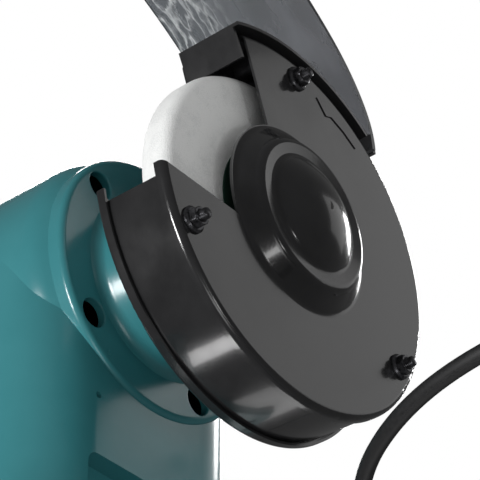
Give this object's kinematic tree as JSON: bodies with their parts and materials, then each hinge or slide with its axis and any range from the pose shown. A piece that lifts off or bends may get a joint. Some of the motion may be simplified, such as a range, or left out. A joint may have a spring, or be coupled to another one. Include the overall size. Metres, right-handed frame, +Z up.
{
  "type": "bench grinder",
  "caption": "Double-ended bench grinder: motor on a hollow pedestal, a guarded abrasive wheel at each end, tilting eye shields, adjustable spark guards, mains lead and plug.",
  "frame": {"origin": "centre of the four mounting holes, on the floor plane under the rubber feet", "axes": "+X along the shaft to the right-hand wheel, -Y to the operator, +Z up"},
  "size_m": [0.6363, 0.2677, 0.3291],
  "materials": {
    "teal_enamel": "glossy teal enamel over casting",
    "black_enamel": "satin black enamel",
    "zinc_steel": "zinc plated",
    "black_steel": "black oxide",
    "machined_steel": "turned",
    "bearing_steel": "ground",
    "lamination_steel": "stacked sheet",
    "cast_aluminium": "as cast",
    "enamelled_copper": "enamelled wire",
    "grey_abrasive": "grainy",
    "white_abrasive": "fine grainy",
    "green_paper": "matte",
    "black_rubber": "matte",
    "black_plastic": "moulded",
    "red_plastic": "glossy",
    "grey_plastic": "moulded",
    "galvanised_sheet": "galvanised",
    "pin_brass": "plated",
    "smoked_polycarbonate": "smoked, clear to look through"
  },
  "bodies": {
    "machine": {"housing": "teal_enamel", "end_bell_right": "teal_enamel", "end_bell_left": "teal_enamel", "guard_back_right": "black_enamel", "guard_back_left": "black_enamel", "guard_band_right": "black_enamel", "guard_band_left": "black_enamel", "guard_cover_right": "black_enamel", "guard_cover_left": "black_enamel", "shield_bracket_right": "black_enamel", "shield_bracket_left": "black_enamel", "through_bolts": "zinc_steel", "bottom_screws": "zinc_steel", "guard_screws": "zinc_steel", "bracket_screws": "zinc_steel", "spark_screw_right": "zinc_steel", "spark_screw_left": "zinc_steel", "guard_bolts_right": "black_steel", "guard_bolts_left": "black_steel", "guard_nuts_right": "black_steel", "guard_nuts_left": "black_steel", "bearing_outer_rings": "bearing_steel", "wave_washer": "bearing_steel", "stator_core": "lamination_steel", "stator_windings": "enamelled_copper", "rubber_feet": "black_rubber", "cord_gland": "black_rubber", "power_cord": "black_rubber", "cord_coil": "black_rubber", "cord_plug": "black_rubber", "switch_bezel": "black_plastic", "switch_body": "black_plastic", "coil_tie": "black_plastic", "shield_knob_right": "black_plastic", "shield_knob_left": "black_plastic", "capacitor": "grey_plastic", "bottom_plate": "galvanised_sheet", "capacitor_clamp": "galvanised_sheet", "plug_pins": "pin_brass"},
    "rotor": {"shaft": "machined_steel", "rotor_core": "lamination_steel", "rotor_end_rings": "cast_aluminium", "cooling_fan": "black_plastic", "bearing_inner_rings": "bearing_steel", "bearing_balls": "bearing_steel", "clamp_flanges": "machined_steel", "paper_blotters": "green_paper", "arbor_nuts": "zinc_steel", "wheel_right": "white_abrasive", "wheel_left": "grey_abrasive"},
    "switch_rocker": {"switch_rocker": "red_plastic"},
    "spark_guard_right": {"spark_guard_right": "black_enamel"},
    "eye_shield_right": {"eye_shield_right": "smoked_polycarbonate", "shield_strip_right": "black_enamel", "shield_screws_right": "zinc_steel"},
    "spark_guard_left": {"spark_guard_left": "black_enamel"},
    "eye_shield_left": {"eye_shield_left": "smoked_polycarbonate", "shield_strip_left": "black_enamel", "shield_screws_left": "zinc_steel"}
  },
  "joints": [
    {"name": "rotor_spin", "type": "hinge", "parent": "machine", "child": "rotor", "pos_m": [0, 0, 0.15], "axis": [1, 0, 0], "continuous": true},
    {"name": "switch_rock", "type": "hinge", "parent": "machine", "child": "switch_rocker", "pos_m": [0, -0.0678, 0.052], "axis": [1, 0, 0], "range_deg": [0, 18]},
    {"name": "spark_guard_right_adjust", "type": "hinge", "parent": "machine", "child": "spark_guard_right", "pos_m": [0.154, 0, 0.15], "axis": [1, 0, 0], "range_deg": [0, 12]},
    {"name": "eye_shield_right_tilt", "type": "hinge", "parent": "machine", "child": "eye_shield_right", "pos_m": [0.13, 0.073, 0.229], "axis": [1, 0, 0], "range_deg": [0, 25]},
    {"name": "spark_guard_left_adjust", "type": "hinge", "parent": "machine", "child": "spark_guard_left", "pos_m": [-0.154, 0, 0.15], "axis": [1, 0, 0], "range_deg": [0, 12]},
    {"name": "eye_shield_left_tilt", "type": "hinge", "parent": "machine", "child": "eye_shield_left", "pos_m": [-0.13, 0.073, 0.229], "axis": [1, 0, 0], "range_deg": [0, 25]}
  ]
}
